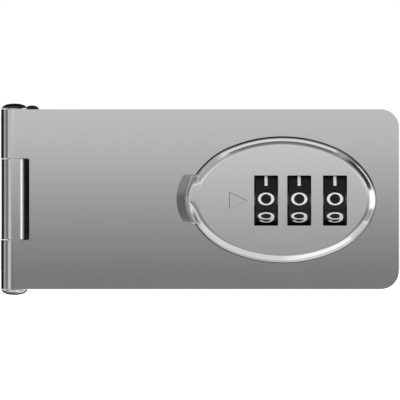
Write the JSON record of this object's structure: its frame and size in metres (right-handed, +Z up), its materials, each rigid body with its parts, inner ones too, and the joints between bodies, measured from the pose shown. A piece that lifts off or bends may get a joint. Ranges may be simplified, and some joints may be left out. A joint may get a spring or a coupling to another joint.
{
  "type": "combination cabinet lock",
  "caption": "Hinged metal hasp plate with an oval combination lock: number wheels in windows, a sprung release tab and latch, on a screw-down leaf for a cabinet door.",
  "frame": {"origin": "centre of the fixed leaf's four screw holes, on the face that lies against the cabinet", "axes": "+X along the plate from the hinge to its free end, +Y into the cabinet, +Z up; the lock's face looks along -Y"},
  "size_m": [0.12, 0.0221, 0.0578],
  "materials": {
    "plate_steel": "satin, fine even grain",
    "pin_steel": "satin, turned",
    "case_metal": "satin plated die casting with a polished rim",
    "tab_metal": "satin plated die casting",
    "slide_metal": "as cast",
    "cover_steel": "plain rolled sheet",
    "shaft_steel": "ground",
    "brass": "turned",
    "dial_black": "moulded, with white numbers",
    "fastener_steel": "zinc plated",
    "spring_steel": "drawn wire and strip"
  },
  "bodies": {
    "base": {"fixed_leaf": "plate_steel", "hinge_pin": "pin_steel", "pin_cap": "pin_steel", "ear_pin": "pin_steel"},
    "hasp": {"hasp_plate": "plate_steel", "lock_case": "case_metal", "stud_nuts": "fastener_steel", "back_cover": "cover_steel", "cover_screws": "fastener_steel", "detent_spring": "spring_steel", "detent_rivets": "fastener_steel", "slide_spring": "spring_steel", "shaft_spring": "spring_steel"},
    "release": {"latch_slide": "slide_metal", "release_tab": "tab_metal", "tab_rivets": "fastener_steel"},
    "shaft": {"dial_shaft": "shaft_steel", "sleeve_spacers": "brass", "reset_slide": "slide_metal"},
    "dial_1": {"dial_1": "dial_black"},
    "sleeve_1": {"sleeve_1": "brass"},
    "dial_2": {"dial_2": "dial_black"},
    "sleeve_2": {"sleeve_2": "brass"},
    "dial_3": {"dial_3": "dial_black"},
    "sleeve_3": {"sleeve_3": "brass"}
  },
  "joints": [
    {"name": "leaf_swing", "type": "hinge", "parent": "base", "child": "hasp", "pos_m": [-0.025, -0.015, 0], "axis": [0, 0, -1], "range_deg": [0, 180]},
    {"name": "latch_release", "type": "slide", "parent": "hasp", "child": "release", "axis": [1, 0, 0], "range_m": [-0.0024, 0], "stiffness_N_per_m": 300, "springref_m": 0.003, "deforming": ["slide_spring"]},
    {"name": "code_change", "type": "slide", "parent": "hasp", "child": "shaft", "axis": [1, 0, 0], "range_m": [-0.0012, 0], "stiffness_N_per_m": 400, "springref_m": 0.002, "deforming": ["shaft_spring"]},
    {"name": "dial_1_turn", "type": "hinge", "parent": "hasp", "child": "dial_1", "pos_m": [0.05084, -0.01245, 0], "axis": [1, 0, 0], "continuous": true},
    {"name": "dial_2_turn", "type": "hinge", "parent": "hasp", "child": "dial_2", "pos_m": [0.06084, -0.01245, 0], "axis": [1, 0, 0], "continuous": true},
    {"name": "dial_3_turn", "type": "hinge", "parent": "hasp", "child": "dial_3", "pos_m": [0.07167, -0.01245, 0], "axis": [1, 0, 0], "continuous": true},
    {"name": "sleeve_1_turn", "type": "hinge", "parent": "shaft", "child": "sleeve_1", "pos_m": [0.05084, -0.01245, 0], "axis": [1, 0, 0], "continuous": true},
    {"name": "sleeve_2_turn", "type": "hinge", "parent": "shaft", "child": "sleeve_2", "pos_m": [0.06084, -0.01245, 0], "axis": [1, 0, 0], "continuous": true},
    {"name": "sleeve_3_turn", "type": "hinge", "parent": "shaft", "child": "sleeve_3", "pos_m": [0.07167, -0.01245, 0], "axis": [1, 0, 0], "continuous": true}
  ],
  "couplings": [
    {"joint": "sleeve_1_turn", "follows": "dial_1_turn", "ratio": 1},
    {"joint": "sleeve_2_turn", "follows": "dial_2_turn", "ratio": 1},
    {"joint": "sleeve_3_turn", "follows": "dial_3_turn", "ratio": 1}
  ]
}
